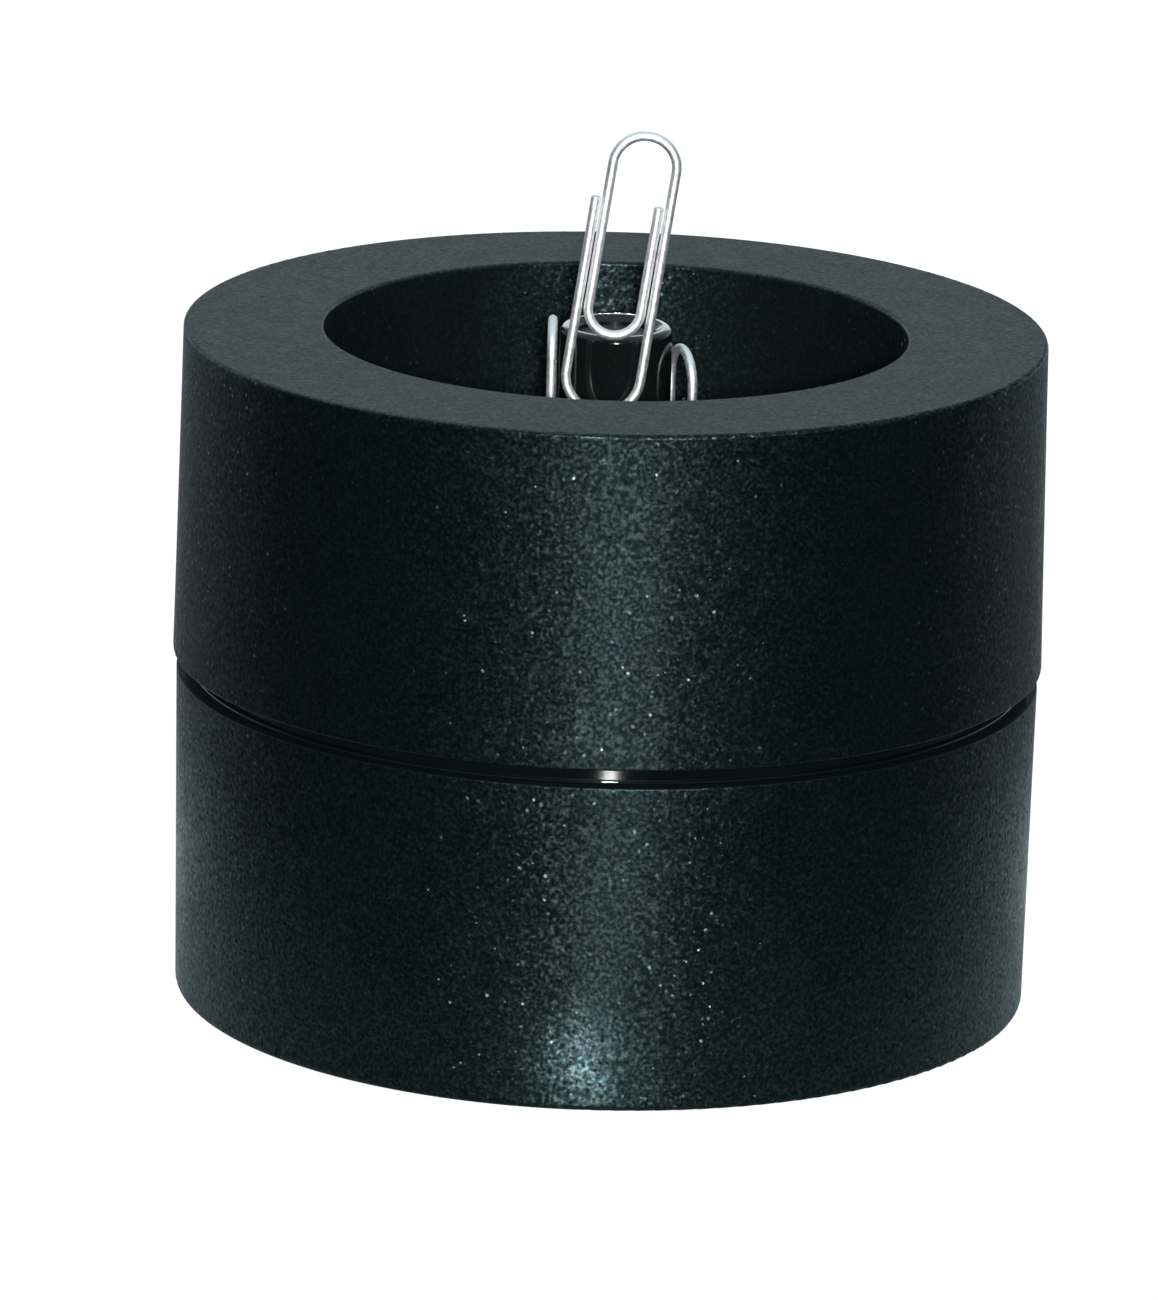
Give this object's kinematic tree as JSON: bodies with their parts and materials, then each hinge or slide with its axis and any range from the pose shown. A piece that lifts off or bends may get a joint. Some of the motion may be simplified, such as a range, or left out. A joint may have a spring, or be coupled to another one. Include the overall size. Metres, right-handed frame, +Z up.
{
  "type": "magnetic paper clip holder",
  "caption": "Round two-part desk holder: a dish with a magnet post and wire clips clinging to it, seated by a lap joint on a cup for spare clips.",
  "frame": {"origin": "centre of the holder on the desk surface under its feet", "axes": "+Z up along the magnet post; the front clip stands on the -Y side of the post; +X is to the right seen from the front"},
  "size_m": [0.073, 0.073, 0.0756],
  "materials": {
    "grained_shell": "black moulded plastic, coarse grain outside, fine matt rim",
    "gloss_post": "polished black plastic",
    "magnet_core": "dark sintered magnet",
    "rubber_feet": "matt black rubber",
    "clip_wire": "bright plated steel wire"
  },
  "bodies": {
    "base": {"base_cup": "grained_shell", "rubber_feet": "rubber_feet"},
    "dish": {"dish_shell": "grained_shell", "post_sleeve": "gloss_post", "magnet": "magnet_core"},
    "front_clip": {"clip_front": "clip_wire"},
    "left_clip": {"clip_left": "clip_wire"},
    "right_clip": {"clip_right": "clip_wire"}
  },
  "joints": [
    {"name": "dish_lift", "type": "slide", "parent": "base", "child": "dish", "axis": [0, 0, 1], "range_m": [0, 0.04]},
    {"name": "front_clip_pull", "type": "slide", "parent": "dish", "child": "front_clip", "axis": [0.1392, 0, 0.9903], "range_m": [0, 0.03]},
    {"name": "left_clip_pull", "type": "slide", "parent": "dish", "child": "left_clip", "axis": [0, 0, 1], "range_m": [0, 0.03]},
    {"name": "right_clip_pull", "type": "slide", "parent": "dish", "child": "right_clip", "axis": [0, 0, 1], "range_m": [0, 0.03]}
  ]
}
